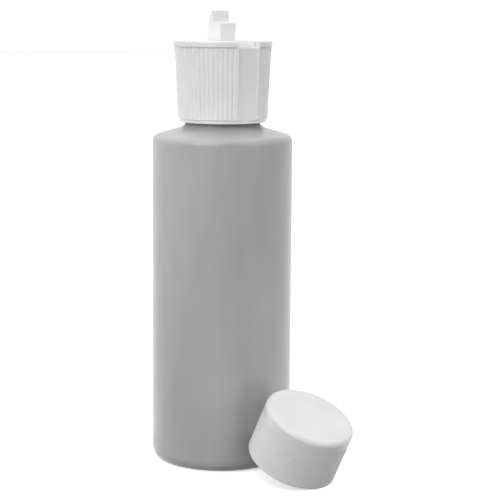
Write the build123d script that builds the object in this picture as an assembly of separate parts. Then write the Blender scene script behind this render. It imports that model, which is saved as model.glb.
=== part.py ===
"""Squeeze bottle with a screw-on flip-spout cap, and a plain screw cap leaning against it. Millimetres.

The origin is the centre of the bottle's base, on the table, and +Z is up. The spout stands upright
and folds down towards -Y, into a slot in the top of its cap. Both caps have the same screw thread.
"""
from build123d import *
import math
import os

# Bottle: a thin-walled cylinder with a recessed base, a sloping shoulder and a neck
BODY_R = 21.0
WALL = 1.0
FLOOR = 1.2
BASE_FLAT_R = 14.0
BASE_FLAT_EDGE = 1.0
BASE_RECESS = 1.0
BASE_RECESS_RUN = 3.0
BASE_CORNER = 3.5
SHOULDER_EDGE_Z = 98.5
SHOULDER_CORNER = 2.4
SHOULDER_WALL = 0.85
NECK_FOOT_Z = 101.4
NECK_FOOT_BEND = 2.5
NECK_R = 10.95
NECK_BORE_R = 9.4
MOUTH_Z = 118.2
MOUTH_EDGE = 0.4

# Screw thread: right-handed, one and a half turns of a trapezoid ridge
LEAD = 3.175
TURNS = 1.5
RIDGE_HEIGHT = 1.0
RIDGE_FOOT = 1.9
RIDGE_CREST = 0.8
RIDGE_FADE_DEG = 35.0
RIDGE_STEP_DEG = 15.0
RIDGE_ROOT = 0.5
RIDGE_END_SINK = 0.25
NECK_RIDGE_BELOW_MOUTH = 6.8
SKIRT_BORE_R = 12.3

# Flip-spout cap
CAP_FOOT_Z = 102.6
CAP_TOP_Z = 126.6
CAP_LIP_R = 13.0
CAP_FOOT_R = 13.45
CAP_BAND_R = 14.7
CAP_BAND_HEIGHT = 1.7
CAP_BAND_STEP = 0.25
CAP_TOP_EDGE = 0.4
CAP_LIP_EDGE = 0.25
CAP_FOOT_EDGE = 0.1
LIP_HEIGHT = 1.1
DECK = 1.3
DECK_CORNER = 0.5
SMALL_EDGE = 0.2
LINER_GAP = 0.05
LINER = 0.95
LAND_IN_R = 9.5
LAND_OUT_R = 11.6

# Grip grooves round the flip-spout cap
GROOVES = 62
GROOVE_R = 0.42
GROOVE_DEPTH = 0.24
GROOVE_TOP_GAP = 0.5
GROOVE_RUN_OUT = 0.6
SMOOTH_HALF_ANGLE_DEG = 17.0

# Upright flat thumb panel on the front of the cap, below the spout's tip, and its side walls' slope
PANEL_HALF_WIDTH = 3.25
PANEL_Y = -13.0
PANEL_SIDE_SLOPE = 0.3

# Spout: it stands on a round hub, and forward of it is -Y
SPOUT_WIDTH = 5.9
SPOUT_WAIST = 0.35
WAIST_TOP_Z = 130.9
HUB_R = 3.95
HUB_Y = -0.75
HUB_BELOW_TOP = 4.0
NOZZLE_FRONT = 1.8
NOZZLE_TOP_Z = 131.8
TAB_FRONT_Y = 1.35
TAB_TIP = 0.4
TAB_BACK_Y = 3.25
TAB_BEND_Z = 132.9
TAB_TOP_Z = 135.5
HEEL_BACK_Y = 5.1
HEEL_GAP = 0.1
HEEL_EDGE = 0.4
PASSAGE_R = 1.3
TRUNNION_R = 1.2
TRUNNION_LENGTH = 0.7
SPOUT_EDGE = 0.25

# Slot that takes the folded spout
SLOT_GAP = 0.1
HUB_GAP = 0.08
TRUNNION_GAP = 0.05
FOLD_GAP = 0.15
SLOT_WALL = 1.3
SLOT_END_WALL = 1.2
SLOT_FLOOR = 1.0
SILL_ROOT = 0.5
NOTCH_HALF_WIDTH = 3.5
NOTCH_DEPTH = 2.0
NOTCH_START_Y = -12.0

# Plain screw cap, and how it leans: its open rim's centre, its tilt and the way it tilts
PLAIN_R = 13.4
PLAIN_HEIGHT = 16.3
PLAIN_DECK = 1.2
PLAIN_TOP_EDGE = 1.4
PLAIN_RIM_EDGE = 0.3
PLAIN_LINER = 1.0
PLAIN_LINER_R = 12.0
LEAN_DEG = 26.1
LEAN_TOWARDS_DEG = -76.1
PLAIN_RIM_X = 2.95
PLAIN_RIM_Y = -33.25

# Heights that follow from the ones above
HUB_Z = CAP_TOP_Z - HUB_BELOW_TOP
BAND_FOOT_Z = CAP_TOP_Z - CAP_BAND_HEIGHT
NOTCH_Z = CAP_TOP_Z - NOTCH_DEPTH
LIP_TOP_Z = CAP_FOOT_Z + LIP_HEIGHT
NOZZLE_LENGTH = NOZZLE_TOP_Z - HUB_Z
SLOT_END_Y = HUB_Y - NOZZLE_LENGTH - FOLD_GAP
SLOT_DEEP_Z = HUB_Z - NOZZLE_FRONT - FOLD_GAP

# How far a cutting shape stands clear of what it cuts, and the slack when edges are picked by height
CUT = 1.0
SLACK = 0.01


def turned(outline):
    """A body turned about Z, from (radius, height, corner radius) points round its closed section."""
    points = [(r, z) for r, z, _ in outline]
    corners = [corner for _, _, corner in outline]
    section = make_face(Plane.XZ * FilletPolyline(*points, radius=corners, close=True))
    return revolve(section, Axis.Z)


def ring(inner, outer, low, high):
    """A plain washer about Z."""
    return turned([(inner, low, 0), (outer, low, 0), (outer, high, 0), (inner, high, 0)])


def block(half_width, front_y, back_y, low, high):
    """A box centred on X = 0."""
    size = (2 * half_width, back_y - front_y, high - low)
    return Pos(0, (front_y + back_y) / 2, (low + high) / 2) * Box(*size)


def cross_cylinder(radius, half_length):
    """A cylinder along X on the spout's hinge axis."""
    return Pos(0, HUB_Y, HUB_Z) * Rot(0, 90, 0) * Cylinder(radius, 2 * half_length)


def thread_ridge(wall_r, direction, start_z):
    """A helical ridge on a wall of radius wall_r. Direction is 1 on a neck and -1 inside a skirt.

    Its section is a trapezoid that starts inside the wall, and it sinks into the wall at both ends.
    """
    flank = (RIDGE_FOOT - RIDGE_CREST) / 2 / RIDGE_HEIGHT
    root = wall_r - direction * RIDGE_ROOT
    root_half = RIDGE_FOOT / 2 + flank * RIDGE_ROOT
    crest_half = RIDGE_CREST / 2
    total = TURNS * 360
    steps = round(total / RIDGE_STEP_DEG)
    sections = []
    for i in range(steps + 1):
        angle = i * total / steps
        fade = min(1, angle / RIDGE_FADE_DEG, (total - angle) / RIDGE_FADE_DEG)
        rise = (RIDGE_HEIGHT + RIDGE_END_SINK) * math.sin(math.pi / 2 * fade) - RIDGE_END_SINK
        crest = wall_r + direction * rise
        corners = [(root, -root_half), (crest, -crest_half), (crest, crest_half), (root, root_half)]
        outward = (math.cos(math.radians(angle)), math.sin(math.radians(angle)), 0)
        sideways = (outward[1], -outward[0], 0)
        place = Plane(origin=(0, 0, start_z + LEAD * angle / 360), x_dir=outward, z_dir=sideways)
        sections.append(Wire.make_polygon([place.from_local_coords((r, w, 0)) for r, w in corners]))
    return Solid.make_loft(sections)


def bottle():
    """Thin-walled cylinder with a recessed base, a sloping shoulder and a threaded neck."""
    recess_r = BASE_FLAT_R - BASE_RECESS_RUN
    inner_shift = MOUTH_EDGE
    shell = turned([
        (0, BASE_RECESS, 0),
        (recess_r, BASE_RECESS, BASE_RECESS_RUN),
        (BASE_FLAT_R, 0, BASE_FLAT_EDGE),
        (BODY_R, 0, BASE_CORNER),
        (BODY_R, SHOULDER_EDGE_Z, SHOULDER_CORNER),
        (NECK_R, NECK_FOOT_Z, NECK_FOOT_BEND),
        (NECK_R, MOUTH_Z, MOUTH_EDGE),
        (NECK_BORE_R, MOUTH_Z, MOUTH_EDGE),
        (NECK_BORE_R, NECK_FOOT_Z - SHOULDER_WALL, NECK_FOOT_BEND),
        (BODY_R - WALL, SHOULDER_EDGE_Z - SHOULDER_WALL, SHOULDER_CORNER - WALL),
        (BODY_R - WALL, FLOOR, BASE_CORNER - WALL),
        (BASE_FLAT_R - inner_shift, FLOOR, BASE_FLAT_EDGE),
        (recess_r - inner_shift, FLOOR + BASE_RECESS, BASE_RECESS_RUN),
        (0, FLOOR + BASE_RECESS, 0),
    ])
    return shell + thread_ridge(NECK_R, 1, MOUTH_Z - NECK_RIDGE_BELOW_MOUTH)


def side_radius(z):
    """The flip-spout cap's outer radius at height z, between its lip and its top band."""
    share = (z - LIP_TOP_Z) / (BAND_FOOT_Z - LIP_TOP_Z)
    return CAP_FOOT_R + (CAP_BAND_R - CAP_BAND_STEP - CAP_FOOT_R) * share


def cap_shell():
    """Tapered skirt with a narrower lip at its foot, a plain band at its top, and the deck."""
    deck_z = CAP_TOP_Z - DECK
    return turned([
        (SKIRT_BORE_R, CAP_FOOT_Z, SMALL_EDGE),
        (CAP_LIP_R, CAP_FOOT_Z, CAP_LIP_EDGE),
        (CAP_LIP_R, LIP_TOP_Z, 0),
        (side_radius(LIP_TOP_Z), LIP_TOP_Z, CAP_FOOT_EDGE),
        (side_radius(BAND_FOOT_Z), BAND_FOOT_Z, 0),
        (CAP_BAND_R, BAND_FOOT_Z, 0),
        (CAP_BAND_R, CAP_TOP_Z, CAP_TOP_EDGE),
        (0, CAP_TOP_Z, 0),
        (0, deck_z, 0),
        (SKIRT_BORE_R, deck_z, DECK_CORNER),
    ])


def grip_grooves():
    """Round-ended grooves down the skirt, left out round the front panel."""
    top_z = BAND_FOOT_Z - GROOVE_TOP_GAP
    foot_z = LIP_TOP_Z - GROOVE_RUN_OUT
    taper = math.degrees(math.atan2(side_radius(top_z) - side_radius(foot_z), top_z - foot_z))
    length = (top_z - foot_z) / math.cos(math.radians(taper))
    rod = Cylinder(GROOVE_R, length, align=(Align.CENTER, Align.CENTER, Align.MAX)) + Sphere(GROOVE_R)
    groove = Pos(side_radius(top_z) + GROOVE_R - GROOVE_DEPTH, 0, top_z) * Rot(0, taper, 0) * rod
    pitch = 360 / GROOVES
    from_front = [pitch * (i + 0.5) - 180 for i in range(GROOVES)]
    return [Rot(0, 0, a - 90) * groove for a in from_front if abs(a) > SMOOTH_HALF_ANGLE_DEG]


def front_panel():
    """The plastic missing in front of the flat panel. The side walls slope outwards a little."""
    outside = -CAP_BAND_R - CUT
    foot_wide = PANEL_HALF_WIDTH + PANEL_SIDE_SLOPE * (PANEL_Y - outside)
    corners = [
        (-PANEL_HALF_WIDTH, PANEL_Y),
        (PANEL_HALF_WIDTH, PANEL_Y),
        (foot_wide, outside),
        (-foot_wide, outside),
    ]
    height = CAP_TOP_Z + CUT - LIP_TOP_Z
    return Pos(0, 0, LIP_TOP_Z) * extrude(make_face(Polyline(*corners, close=True)), height)


def slot_housing():
    """Walls and floor round the spout's slot, and the ring that presses the seal on the bottle's lip."""
    half_width = SPOUT_WIDTH / 2 + SLOT_GAP + SLOT_WALL
    under_deck = CAP_TOP_Z - DECK / 2
    front = SLOT_END_Y - SLOT_END_WALL
    back = HUB_Y + HUB_R + SLOT_END_WALL
    well = block(half_width, front, back, SLOT_DEEP_Z - SLOT_FLOOR, under_deck)
    below_deck = block(half_width, -CAP_BAND_R, CAP_BAND_R, MOUTH_Z - HUB_R, under_deck)
    seat = cross_cylinder(HUB_R + HUB_GAP + SLOT_FLOOR, half_width) & below_deck
    sill = block(half_width, -SKIRT_BORE_R - SILL_ROOT, front, NOTCH_Z - SLOT_FLOOR, under_deck)
    land = ring(LAND_IN_R, LAND_OUT_R, MOUTH_Z + 2 * LINER_GAP + LINER, under_deck)
    return well + seat + sill + land


def slot_space():
    """The slot for the folded spout: a round seat, a deep part for the nozzle and a shallow notch."""
    half_width = SPOUT_WIDTH / 2 + SLOT_GAP
    above = CAP_TOP_Z + CUT
    outside = -CAP_BAND_R - CUT
    deep = block(half_width, SLOT_END_Y, HUB_Y, SLOT_DEEP_Z, above)
    rear = block(half_width, HUB_Y, HUB_Y + HUB_R + HUB_GAP, HUB_Z, above)
    seat = cross_cylinder(HUB_R + HUB_GAP, half_width)
    shallow = block(half_width, outside, SLOT_END_Y, NOTCH_Z, above)
    notch = block(NOTCH_HALF_WIDTH, outside, NOTCH_START_Y, NOTCH_Z, above)
    pockets = cross_cylinder(TRUNNION_R + TRUNNION_GAP, half_width + TRUNNION_LENGTH)
    inlet = Pos(0, HUB_Y, HUB_Z - HUB_R) * Cylinder(PASSAGE_R, 4 * SLOT_FLOOR)
    return [deep, rear, seat, shallow, notch, pockets, inlet]


def flip_spout_cap():
    """Cap that screws onto the neck, with the spout's slot across its top."""
    ridge_start = MOUTH_Z - NECK_RIDGE_BELOW_MOUTH - LEAD / 2
    body = cap_shell() + slot_housing() + thread_ridge(SKIRT_BORE_R, -1, ridge_start)
    return body - slot_space() - front_panel() - grip_grooves()


def seal_ring():
    """Soft washer between the bottle's lip and the cap."""
    foot = MOUTH_Z + LINER_GAP
    return ring(LAND_IN_R, SKIRT_BORE_R - RIDGE_ROOT, foot, foot + LINER)


def spout_blank():
    """Nozzle, thumb tab and a heel that rests on the deck, all as wide as the spout's widest part."""
    front = HUB_Y - NOZZLE_FRONT
    back = HUB_Y + HUB_R
    heel_z = CAP_TOP_Z + HEEL_GAP
    tip = (TAB_FRONT_Y + TAB_TIP, TAB_TOP_Z)
    bend = (TAB_BACK_Y, TAB_BEND_Z)
    heel_top = (HEEL_BACK_Y, heel_z + HEEL_EDGE)
    slope = (bend[0] - heel_top[0], bend[1] - heel_top[1])
    outline = [
        Line((front, HUB_Z), (front, NOZZLE_TOP_Z)),
        Line((front, NOZZLE_TOP_Z), (TAB_FRONT_Y, NOZZLE_TOP_Z)),
        Line((TAB_FRONT_Y, NOZZLE_TOP_Z), (TAB_FRONT_Y, TAB_TOP_Z)),
        Line((TAB_FRONT_Y, TAB_TOP_Z), tip),
        TangentArc(bend, tip, tangent=slope, tangent_from_first=True),
        Line(bend, heel_top),
        Line(heel_top, (HEEL_BACK_Y, heel_z)),
        Line((HEEL_BACK_Y, heel_z), (back, heel_z)),
        Line((back, heel_z), (back, HUB_Z)),
        Line((back, HUB_Z), (front, HUB_Z)),
    ]
    return extrude(Plane.YZ * make_face(outline), SPOUT_WIDTH / 2, both=True)


def spout():
    """Upright nozzle with a thumb tab behind its mouth, on a round hub with two trunnions."""
    half_width = SPOUT_WIDTH / 2
    waist = half_width - SPOUT_WAIST
    waist_z = HUB_Z + HUB_R
    outside = half_width + CUT
    side = [(half_width, WAIST_TOP_Z), (outside, WAIST_TOP_Z), (outside, waist_z), (waist, waist_z)]
    side_cut = extrude(Plane.XZ * make_face(Polyline(*side, close=True)), CAP_BAND_R, both=True)
    body = spout_blank() + cross_cylinder(HUB_R, half_width) - side_cut - mirror(side_cut, Plane.YZ)

    def in_sight(edge):
        height = edge.center().Z
        return height > CAP_TOP_Z + HEEL_GAP + SLACK and abs(height - WAIST_TOP_Z) > SLACK

    body = fillet([e for e in body.edges() if in_sight(e)], SPOUT_EDGE)
    passage = Pos(0, HUB_Y, HUB_Z) * Cylinder(PASSAGE_R, 2 * (NOZZLE_LENGTH + CUT))
    return body + cross_cylinder(TRUNNION_R, half_width + TRUNNION_LENGTH) - passage


def leaning():
    """Where the plain cap's open rim lies: its low edge on the table, its high edge by the bottle."""
    lean = math.radians(LEAN_DEG)
    rounding_lift = PLAIN_RIM_EDGE * (math.sin(lean) + math.cos(lean) - 1)
    place = Pos(PLAIN_RIM_X, PLAIN_RIM_Y, PLAIN_R * math.sin(lean) - rounding_lift)
    return place * Rot(0, 0, LEAN_TOWARDS_DEG) * Rot(0, LEAN_DEG, 0)


def plain_cap():
    """Plain screw cap, open at its foot."""
    deck_z = PLAIN_HEIGHT - PLAIN_DECK
    shell = turned([
        (SKIRT_BORE_R, 0, SMALL_EDGE),
        (PLAIN_R, 0, PLAIN_RIM_EDGE),
        (PLAIN_R, PLAIN_HEIGHT, PLAIN_TOP_EDGE),
        (0, PLAIN_HEIGHT, 0),
        (0, deck_z, 0),
        (SKIRT_BORE_R, deck_z, SMALL_EDGE),
    ])
    ridge_start = deck_z - PLAIN_LINER - NECK_RIDGE_BELOW_MOUTH - LEAD / 2
    return leaning() * (shell + thread_ridge(SKIRT_BORE_R, -1, ridge_start))


def plain_cap_liner():
    """Foam disc against the inside of the plain cap's top."""
    centre_z = PLAIN_HEIGHT - PLAIN_DECK - PLAIN_LINER / 2
    return leaning() * Pos(0, 0, centre_z) * Cylinder(PLAIN_LINER_R, PLAIN_LINER)


PARTS = {
    "bottle": bottle,
    "seal_ring": seal_ring,
    "flip_spout_cap": flip_spout_cap,
    "spout": spout,
    "plain_cap": plain_cap,
    "plain_cap_liner": plain_cap_liner,
}

os.makedirs("parts", exist_ok=True)
for name, make in PARTS.items():
    export_step(make(), f"parts/{name}.step")
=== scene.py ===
"""Squeeze bottle with a flip-spout cap, and a plain screw cap leaning against it, in a white studio."""
import bpy
import math
import bmesh
from mathutils import Matrix, Vector


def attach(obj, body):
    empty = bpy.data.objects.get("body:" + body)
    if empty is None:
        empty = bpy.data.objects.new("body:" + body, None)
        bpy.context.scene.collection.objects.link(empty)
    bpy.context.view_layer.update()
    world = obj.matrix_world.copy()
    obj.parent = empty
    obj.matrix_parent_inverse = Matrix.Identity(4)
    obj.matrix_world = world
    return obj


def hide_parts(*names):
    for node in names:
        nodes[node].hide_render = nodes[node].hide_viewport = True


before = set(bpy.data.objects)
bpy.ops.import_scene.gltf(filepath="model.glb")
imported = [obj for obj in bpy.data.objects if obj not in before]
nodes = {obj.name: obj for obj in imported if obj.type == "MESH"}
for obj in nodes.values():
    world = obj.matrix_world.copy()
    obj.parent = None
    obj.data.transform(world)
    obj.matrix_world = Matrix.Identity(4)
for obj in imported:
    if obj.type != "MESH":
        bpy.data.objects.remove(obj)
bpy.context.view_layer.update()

MM = 0.001

# Camera: a telephoto view from the front left, tipped down a little.
# The side, back and height are measured in axes turned with the camera: right, away from it, and up.
CAMERA_AZIMUTH = -34.0
CAMERA_SIDE = 8.46 * MM
CAMERA_BACK = 474.7 * MM
CAMERA_HEIGHT = 135.0 * MM
CAMERA_PITCH = 8.53
CAMERA_ROLL = 0.437
LENS = 114.2
SENSOR = 36.0

# Studio lights: name, place in the camera's turned axes (m), size (m) and power (W) of each soft box
LIGHT_AIM = Vector((0, 0, 0.06))
AREA_LIGHTS = (
    ("key", (-0.8, -1.0, 0.7), 0.8, 6.5),
    ("glint", (-0.22, -1.1, 0.95), 0.2, 2.2),
    ("fill", (1.1, -0.7, 0.6), 0.6, 1.6),
)
# A wide soft sun straight overhead
TOP_STRENGTH = 0.35
TOP_ANGLE_DEG = 70

# Surroundings: they brighten from the camera's side to the far side, and go dark just below the horizon.
# A direction's share away from the camera and its height both run from -1 to 1.
WORLD_FRONT = 0.74
WORLD_BEHIND = 1.03
WORLD_BELOW = 0.05
WORLD_SIDE_SPAN = 0.9
WORLD_DARK_HEIGHT = -0.12
WORLD_LIT_HEIGHT = -0.02

# Floor: its own faint glow keeps it white in the picture, and no diffuse light from it reaches the object
FLOOR_SIZE = 8.0
FLOOR_WHITE = (0.95, 0.95, 0.95)
FLOOR_WHITER = (0.96, 0.96, 0.96)
FLOOR_GLOW = 0.52

# Plastics: darkest and lightest colour, as linear values
BOTTLE_DARK = (0.365, 0.365, 0.365)
BOTTLE_LIGHT = (0.485, 0.485, 0.485)
CAP_DARK = (0.78, 0.78, 0.78)
CAP_LIGHT = (0.82, 0.82, 0.82)
# Loose cap: the same white plastic as the spout's cap, with painted shade making its colour darker
LOOSE_CAP_SHADED_DARK = (0.665, 0.665, 0.665)
LOOSE_CAP_SHADED_LIGHT = (0.71, 0.71, 0.71)
FOAM_DARK = (0.74, 0.73, 0.69)
FOAM_LIGHT = (0.82, 0.815, 0.78)
EXTRA_GLOSS = 0.02
GREY_SCATTER = (1.0, 1.0, 1.0)

# The bottle's parting line, in metres from the plane through its axis
SEAM_FLAT = 0.00006
SEAM_EDGE = 0.0002

# The plain cap, and where its open rim lies
PLAIN_R = 13.39
PLAIN_HEIGHT = 16.3
PLAIN_DECK = 1.2
PLAIN_BORE_R = 12.3
PLAIN_TOP_EDGE = 1.4
PLAIN_RIM_EDGE = 0.3
PLAIN_LINER = 1.0
LEAN_DEG = 26.1
LEAN_TOWARDS_DEG = -76.1
PLAIN_RIM = (2.95, -33.25)

# The fine ribs round its side: the sharpness makes the ribs wider than the grooves between them
RIB_TOP = 13.4
RIB_FOOT = 0.7
RIB_FADE = 0.5
RIBS = 116
RIB_STEPS = 8
RIB_DEPTH = 0.1
RIB_SHARPNESS = 1.5
SIDE_TOLERANCE = 0.001

# How many steps each stretch of its profile is drawn in
TOP_STEPS = 6
TOP_EDGE_STEPS = 12
SIDE_STEPS = 40
RIM_EDGE_STEPS = 5
BORE_STEPS = 8
BORE_CORNER_STEPS = 4
SEAT_STEPS = 4
SHARP_EDGE_DEG = 50

# Its screw thread
LEAD = 3.175
TURNS = 1.5
RIDGE_HEIGHT = 1.0
RIDGE_FOOT = 1.9
RIDGE_CREST = 0.8
RIDGE_SINK = 0.3
RIDGE_END_SINK = 0.1
RIDGE_BELOW_SEAT = 6.8
RIDGE_STEPS = 180
RIDGE_FADE = 0.07


def turned_by_camera():
    return Matrix.Rotation(math.radians(CAMERA_AZIMUTH), 4, "Z")


def make_camera():
    data = bpy.data.cameras.new("camera")
    data.lens = LENS
    data.sensor_width = SENSOR
    camera = bpy.data.objects.new("camera", data)
    bpy.context.scene.collection.objects.link(camera)
    turn = turned_by_camera()
    tip = Matrix.Rotation(math.radians(90 - CAMERA_PITCH), 4, "X")
    roll = Matrix.Rotation(math.radians(CAMERA_ROLL), 4, "Z")
    place = Matrix.Translation(turn @ Vector((CAMERA_SIDE, -CAMERA_BACK, CAMERA_HEIGHT)))
    camera.matrix_world = place @ turn @ tip @ roll
    bpy.context.scene.camera = camera


def add_light(name, kind, place, **settings):
    data = bpy.data.lights.new(name, kind)
    for key, value in settings.items():
        setattr(data, key, value)
    light = bpy.data.objects.new(name, data)
    bpy.context.scene.collection.objects.link(light)
    light.matrix_world = place


def make_lights():
    for name, where, size, power in AREA_LIGHTS:
        spot = turned_by_camera() @ Vector(where)
        aimed = (spot - LIGHT_AIM).to_track_quat("Z", "Y").to_matrix().to_4x4()
        add_light(name, "AREA", Matrix.Translation(spot) @ aimed, size=size, energy=power)
    overhead = Matrix.Translation((0, 0, 1))
    add_light("top", "SUN", overhead, energy=TOP_STRENGTH, angle=math.radians(TOP_ANGLE_DEG))


class Nodes:
    """Shader nodes made and joined in one call each."""

    def __init__(self, tree):
        self.tree = tree

    def add(self, kind, inputs=None, **settings):
        """Add a node; an input that is a socket is linked, and any other is set as a value."""
        node = self.tree.nodes.new(kind)
        for key, value in settings.items():
            setattr(node, key, value)
        for key, value in (inputs or {}).items():
            if isinstance(value, bpy.types.NodeSocket):
                self.tree.links.new(value, node.inputs[key])
            else:
                node.inputs[key].default_value = value
        return node

    def object_coords(self):
        return self.add("ShaderNodeTexCoord").outputs["Object"]

    def noise(self, coords, scale, detail=3.0, stretch=(1, 1, 1)):
        """Noise with about SCALE lumps to the metre; a stretch below 1 draws them out along its axis."""
        mapped = self.add("ShaderNodeMapping", {"Vector": coords, "Scale": stretch}).outputs[0]
        inputs = {"Vector": mapped, "Scale": scale, "Detail": detail}
        return self.add("ShaderNodeTexNoise", inputs).outputs["Fac"]

    def spread(self, value, low, high, from_low=0.3, from_high=0.7):
        """Map from_low..from_high, by default where most of a noise lies, onto low..high."""
        inputs = {"Value": value, "From Min": from_low, "From Max": from_high, "To Min": low, "To Max": high}
        return self.add("ShaderNodeMapRange", inputs).outputs[0]

    def combine(self, kind, a, b=0.0):
        return self.add("ShaderNodeMath", {0: a, 1: b}, operation=kind).outputs[0]

    def plus(self, base, extra, weight):
        return self.combine("ADD", base, self.combine("MULTIPLY", extra, weight))

    def weighted(self, a, a_weight, b, b_weight):
        return self.plus(self.combine("MULTIPLY", a, a_weight), b, b_weight)

    def blend(self, share, first, second):
        """Blend two colours; the Mix node repeats its socket names, so they are found by identifier."""
        node = self.add("ShaderNodeMix", {"Factor": share}, data_type="RGBA")
        sockets = {s.identifier: s for s in node.inputs}
        sockets["A_Color"].default_value = (*first, 1)
        sockets["B_Color"].default_value = (*second, 1)
        return next(s for s in node.outputs if s.identifier == "Result_Color")


def make_world():
    """White behind the object, dimmer behind the camera and below the table."""
    world = bpy.data.worlds.new("studio")
    world.use_nodes = True
    n = Nodes(world.node_tree)
    background = world.node_tree.nodes["Background"]
    background.inputs["Color"].default_value = (1, 1, 1, 1)
    away = turned_by_camera() @ Vector((0, 1, 0))
    direction = n.add("ShaderNodeTexCoord").outputs["Generated"]
    dot = n.add("ShaderNodeVectorMath", {0: direction, 1: away}, operation="DOT_PRODUCT").outputs["Value"]
    level = n.spread(dot, WORLD_FRONT, WORLD_BEHIND, -WORLD_SIDE_SPAN, WORLD_SIDE_SPAN)
    height = n.add("ShaderNodeSeparateXYZ", {0: direction}).outputs["Z"]
    above = n.spread(height, 0.0, 1.0, WORLD_DARK_HEIGHT, WORLD_LIT_HEIGHT)
    lit = n.combine("MULTIPLY", level, above)
    below = n.combine("SUBTRACT", 1.0, above)
    strength = n.plus(lit, below, WORLD_BELOW)
    world.node_tree.links.new(strength, background.inputs["Strength"])
    bpy.context.scene.world = world


def new_material(name):
    material = bpy.data.materials.new(name)
    material.use_nodes = True
    return material, Nodes(material.node_tree), material.node_tree.nodes["Principled BSDF"]


def finish_shader(n, shader, colour, roughness, height, bump_distance, bump_strength, constants):
    """Wire a colour, a roughness and a bump height, and set the constant sockets."""
    bump = n.add("ShaderNodeBump", {"Height": height, "Strength": bump_strength, "Distance": bump_distance})
    links = n.tree.links
    links.new(colour, shader.inputs["Base Color"])
    links.new(roughness, shader.inputs["Roughness"])
    links.new(bump.outputs[0], shader.inputs["Normal"])
    for key, value in constants.items():
        shader.inputs[key].default_value = value


def natural_polyethylene():
    """Cloudy translucent bottle plastic: flow streaks along the axis, a parting line, satin skin, and
    painted shade that darkens it towards its foot.
    """
    material, n, shader = new_material("natural_polyethylene")
    coords = n.object_coords()
    cloud = n.noise(coords, scale=45.0, stretch=(1, 1, 0.35))
    streak = n.noise(coords, scale=420.0, detail=2.0, stretch=(1, 1, 0.04))
    grain = n.noise(coords, scale=2600.0, detail=2.0)
    ripple = n.noise(coords, scale=160.0, detail=2.0, stretch=(1, 1, 0.5))
    side = n.add("ShaderNodeSeparateXYZ", {0: coords})
    share = n.weighted(cloud, 0.88, streak, 0.12)
    # Painted shade: the colour darkens towards the bottle's foot, where less light reaches it, and pales a
    # little higher up
    painted_shade_towards_foot = n.spread(side.outputs["Z"], low=-0.13, high=0.04, from_low=0.0, from_high=0.1)
    share = n.combine("ADD", share, painted_shade_towards_foot)
    colour = n.blend(n.spread(share, 0.0, 1.0), BOTTLE_DARK, BOTTLE_LIGHT)
    roughness = n.spread(cloud, 0.31, 0.36)
    seam = n.spread(n.combine("ABSOLUTE", side.outputs["X"]), 1.0, 0.0, SEAM_FLAT, SEAM_EDGE)
    height = n.plus(ripple, grain, 0.01)
    height = n.plus(height, seam, 0.35)
    finish_shader(n, shader, colour, roughness, height, bump_distance=0.00012, bump_strength=0.2, constants={
        "IOR": 1.52,
        "Coat Weight": 0.15,
        "Coat Roughness": 0.14,
        "Subsurface Weight": 0.65,
        "Subsurface Radius": GREY_SCATTER,
        "Subsurface Scale": 0.005,
    })
    return material


def white_polypropylene(name, light=CAP_LIGHT, dark=CAP_DARK, gloss=0.0):
    """Semi-gloss white cap plastic with a fine moulded texture and faint flow marks."""
    material, n, shader = new_material(name)
    coords = n.object_coords()
    flow = n.noise(coords, scale=130.0)
    fine = n.noise(coords, scale=3500.0, detail=2.0)
    scuff = n.noise(coords, scale=700.0, detail=4.0, stretch=(1, 1, 0.3))
    colour = n.blend(n.spread(flow, 0.0, 1.0), dark, light)
    worn = n.weighted(scuff, 0.6, fine, 0.4)
    roughness = n.spread(worn, 0.33 - gloss, 0.38 - gloss)
    height = n.weighted(flow, 0.4, fine, 0.05)
    finish_shader(n, shader, colour, roughness, height, bump_distance=0.00006, bump_strength=0.3, constants={
        "IOR": 1.49,
        "Coat Weight": 0.3,
        "Coat Roughness": 0.12,
        "Subsurface Weight": 0.25,
        "Subsurface Radius": GREY_SCATTER,
        "Subsurface Scale": 0.0008,
    })
    return material


def foam():
    """Matt foamed polyethylene with fine closed cells."""
    material, n, shader = new_material("foam")
    coords = n.object_coords()
    cells = n.add("ShaderNodeTexVoronoi", {"Vector": coords, "Scale": 2200.0}).outputs["Distance"]
    patch = n.noise(coords, scale=300.0)
    colour = n.blend(n.spread(patch, 0.0, 1.0), FOAM_DARK, FOAM_LIGHT)
    roughness = n.spread(cells, low=0.8, high=0.95, from_low=0.0, from_high=0.6)
    finish_shader(n, shader, colour, roughness, cells, bump_distance=0.00015, bump_strength=0.5, constants={
        "Specular IOR Level": 0.3,
    })
    return material


def white_floor():
    material, n, shader = new_material("white_floor")
    grain = n.noise(n.object_coords(), scale=400.0)
    colour = n.blend(n.spread(grain, 0.0, 1.0), FLOOR_WHITE, FLOOR_WHITER)
    roughness = n.spread(grain, 0.85, 0.95)
    finish_shader(n, shader, colour, roughness, grain, bump_distance=0.0001, bump_strength=0.05, constants={
        "Specular IOR Level": 0.1,
        "Emission Color": (1, 1, 1, 1),
        "Emission Strength": FLOOR_GLOW,
    })
    return material


def arc(centre, radius, start_deg, end_deg, steps):
    """Points round a quarter turn in the (radius, height) plane."""
    points = []
    for i in range(steps + 1):
        angle = math.radians(start_deg + (end_deg - start_deg) * i / steps)
        points.append((centre[0] + radius * math.cos(angle), centre[1] + radius * math.sin(angle)))
    return points


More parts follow.
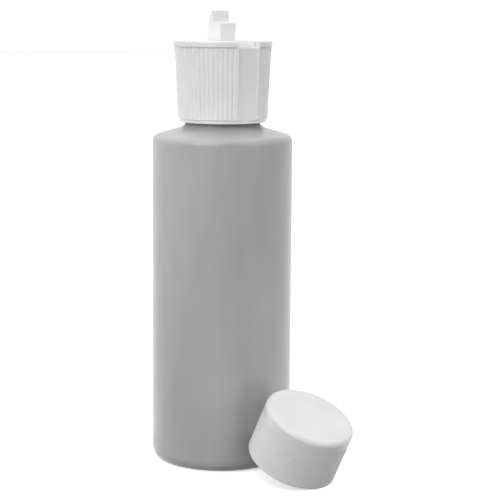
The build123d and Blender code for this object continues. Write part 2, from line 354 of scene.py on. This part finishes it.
def plain_cap_profile():
    """(radius, height) points from near the top's centre, round the open rim, to the deck's underside."""
    top_r = PLAIN_R - PLAIN_TOP_EDGE
    side_top_z = PLAIN_HEIGHT - PLAIN_TOP_EDGE
    side_height = side_top_z - PLAIN_RIM_EDGE
    deck_z = PLAIN_HEIGHT - PLAIN_DECK
    edge = PLAIN_RIM_EDGE
    points = [(top_r * i / TOP_STEPS, PLAIN_HEIGHT) for i in range(1, TOP_STEPS)]
    points += arc((top_r, side_top_z), PLAIN_TOP_EDGE, 90, 0, TOP_EDGE_STEPS)
    points += [(PLAIN_R, side_top_z - side_height * i / SIDE_STEPS) for i in range(1, SIDE_STEPS)]
    points += arc((PLAIN_R - edge, edge), edge, 0, -90, RIM_EDGE_STEPS)
    points += arc((PLAIN_BORE_R + edge, edge), edge, 270, 180, RIM_EDGE_STEPS)
    points += [(PLAIN_BORE_R, deck_z * i / BORE_STEPS) for i in range(1, BORE_STEPS)]
    points += arc((PLAIN_BORE_R - edge, deck_z - edge), edge, 0, 90, BORE_CORNER_STEPS)
    points += [(PLAIN_BORE_R * i / SEAT_STEPS, deck_z) for i in range(SEAT_STEPS - 1, 0, -1)]
    return points


def rib_dip(z, turn):
    """How far the side dips between its ribs at height z, as a share of the full depth."""
    rise = min(1, max(0, (RIB_TOP - z) / RIB_FADE), max(0, (z - RIB_FOOT) / RIB_FADE))
    return rise * (0.5 - 0.5 * math.cos(turn * RIBS)) ** RIB_SHARPNESS


def ribbed_skin(mesh):
    """The whole surface of the plain cap, with ribs on the outside of its skirt."""
    steps = RIBS * RIB_STEPS
    rings = []
    for r, z in plain_cap_profile():
        ring = []
        on_side = r > PLAIN_R - SIDE_TOLERANCE
        for i in range(steps):
            turn = math.tau * i / steps
            radius = r - RIB_DEPTH * rib_dip(z, turn) if on_side else r
            ring.append(mesh.verts.new((radius * math.cos(turn), radius * math.sin(turn), z)))
        rings.append(ring)
    for one, two in zip(rings, rings[1:]):
        for i in range(steps):
            j = (i + 1) % steps
            mesh.faces.new((one[i], two[i], two[j], one[j]))
    for ring, z in ((rings[0], PLAIN_HEIGHT), (rings[-1], PLAIN_HEIGHT - PLAIN_DECK)):
        middle = mesh.verts.new((0, 0, z))
        for i in range(steps):
            mesh.faces.new((middle, ring[i], ring[(i + 1) % steps]))


def thread_ridge(mesh, wall_r, start_z):
    """Add a closed helical ridge inside a skirt: a trapezoid that fades into the wall at its ends."""
    rows = []
    for i in range(RIDGE_STEPS + 1):
        share = i / RIDGE_STEPS
        angle = share * TURNS * math.tau
        fade = min(1, share / RIDGE_FADE, (1 - share) / RIDGE_FADE)
        rise = RIDGE_HEIGHT * math.sin(math.pi / 2 * fade) - RIDGE_END_SINK * (1 - fade)
        z = start_z + LEAD * share * TURNS
        section = (
            (wall_r + RIDGE_SINK, -RIDGE_FOOT / 2),
            (wall_r - rise, -RIDGE_CREST / 2),
            (wall_r - rise, RIDGE_CREST / 2),
            (wall_r + RIDGE_SINK, RIDGE_FOOT / 2),
        )
        row = [mesh.verts.new((r * math.cos(angle), r * math.sin(angle), z + dz)) for r, dz in section]
        rows.append(row)
    corners = len(rows[0])
    for one, two in zip(rows, rows[1:]):
        for k in range(corners):
            after = (k + 1) % corners
            mesh.faces.new((one[k], one[after], two[after], two[k]))
    mesh.faces.new(rows[0])
    mesh.faces.new(reversed(rows[-1]))


def leaning_place():
    """Where the plain cap stands: tipped over its open rim, with the rim's rounded edge on the table."""
    lean = math.radians(LEAN_DEG)
    lift = PLAIN_R * math.sin(lean) - PLAIN_RIM_EDGE * (math.sin(lean) + math.cos(lean) - 1)
    place = Matrix.Translation((*PLAIN_RIM, lift))
    return place @ Matrix.Rotation(math.radians(LEAN_TOWARDS_DEG), 4, "Z") @ Matrix.Rotation(lean, 4, "Y")


def make_plain_cap():
    """The loose cap with its fine ribs and its thread, placed as it leans."""
    mesh = bmesh.new()
    ribbed_skin(mesh)
    ridge_start_z = PLAIN_HEIGHT - PLAIN_DECK - PLAIN_LINER - RIDGE_BELOW_SEAT - LEAD / 2
    thread_ridge(mesh, PLAIN_BORE_R, ridge_start_z)
    bmesh.ops.recalc_face_normals(mesh, faces=mesh.faces)
    mesh.transform(Matrix.Scale(MM, 4) @ leaning_place())
    data = bpy.data.meshes.new("plain_cap_ribbed")
    mesh.to_mesh(data)
    mesh.free()
    data.polygons.foreach_set("use_smooth", [True] * len(data.polygons))
    data.set_sharp_from_angle(angle=math.radians(SHARP_EDGE_DEG))
    piece = bpy.data.objects.new("plain_cap_ribbed", data)
    bpy.context.scene.collection.objects.link(piece)
    # A darker copy of the cap's white plastic: painted shade on the loose cap
    finish = white_polypropylene("loose_cap_shaded_white", LOOSE_CAP_SHADED_LIGHT, LOOSE_CAP_SHADED_DARK, EXTRA_GLOSS)
    data.materials.append(finish)
    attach(piece, "loose_cap")
    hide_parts("plain_cap")


def finish_cad_nodes():
    """Give the pieces that are shown as modelled in CAD their materials."""
    soft = foam()
    finishes = {
        "bottle": natural_polyethylene(),
        "flip_spout_cap": white_polypropylene("cap_white"),
        "spout": white_polypropylene("spout_white", gloss=EXTRA_GLOSS),
        "seal_ring": soft,
        "plain_cap_liner": soft,
    }
    for name, finish in finishes.items():
        for slot in nodes[name].material_slots:
            slot.material = finish


def make_floor():
    bpy.ops.mesh.primitive_plane_add(size=FLOOR_SIZE)
    floor = bpy.context.object
    floor.name = "floor"
    floor.data.materials.append(white_floor())
    floor.visible_diffuse = False


make_camera()
bpy.context.scene.view_settings.view_transform = "Standard"
make_world()
make_lights()
finish_cad_nodes()
make_plain_cap()
make_floor()
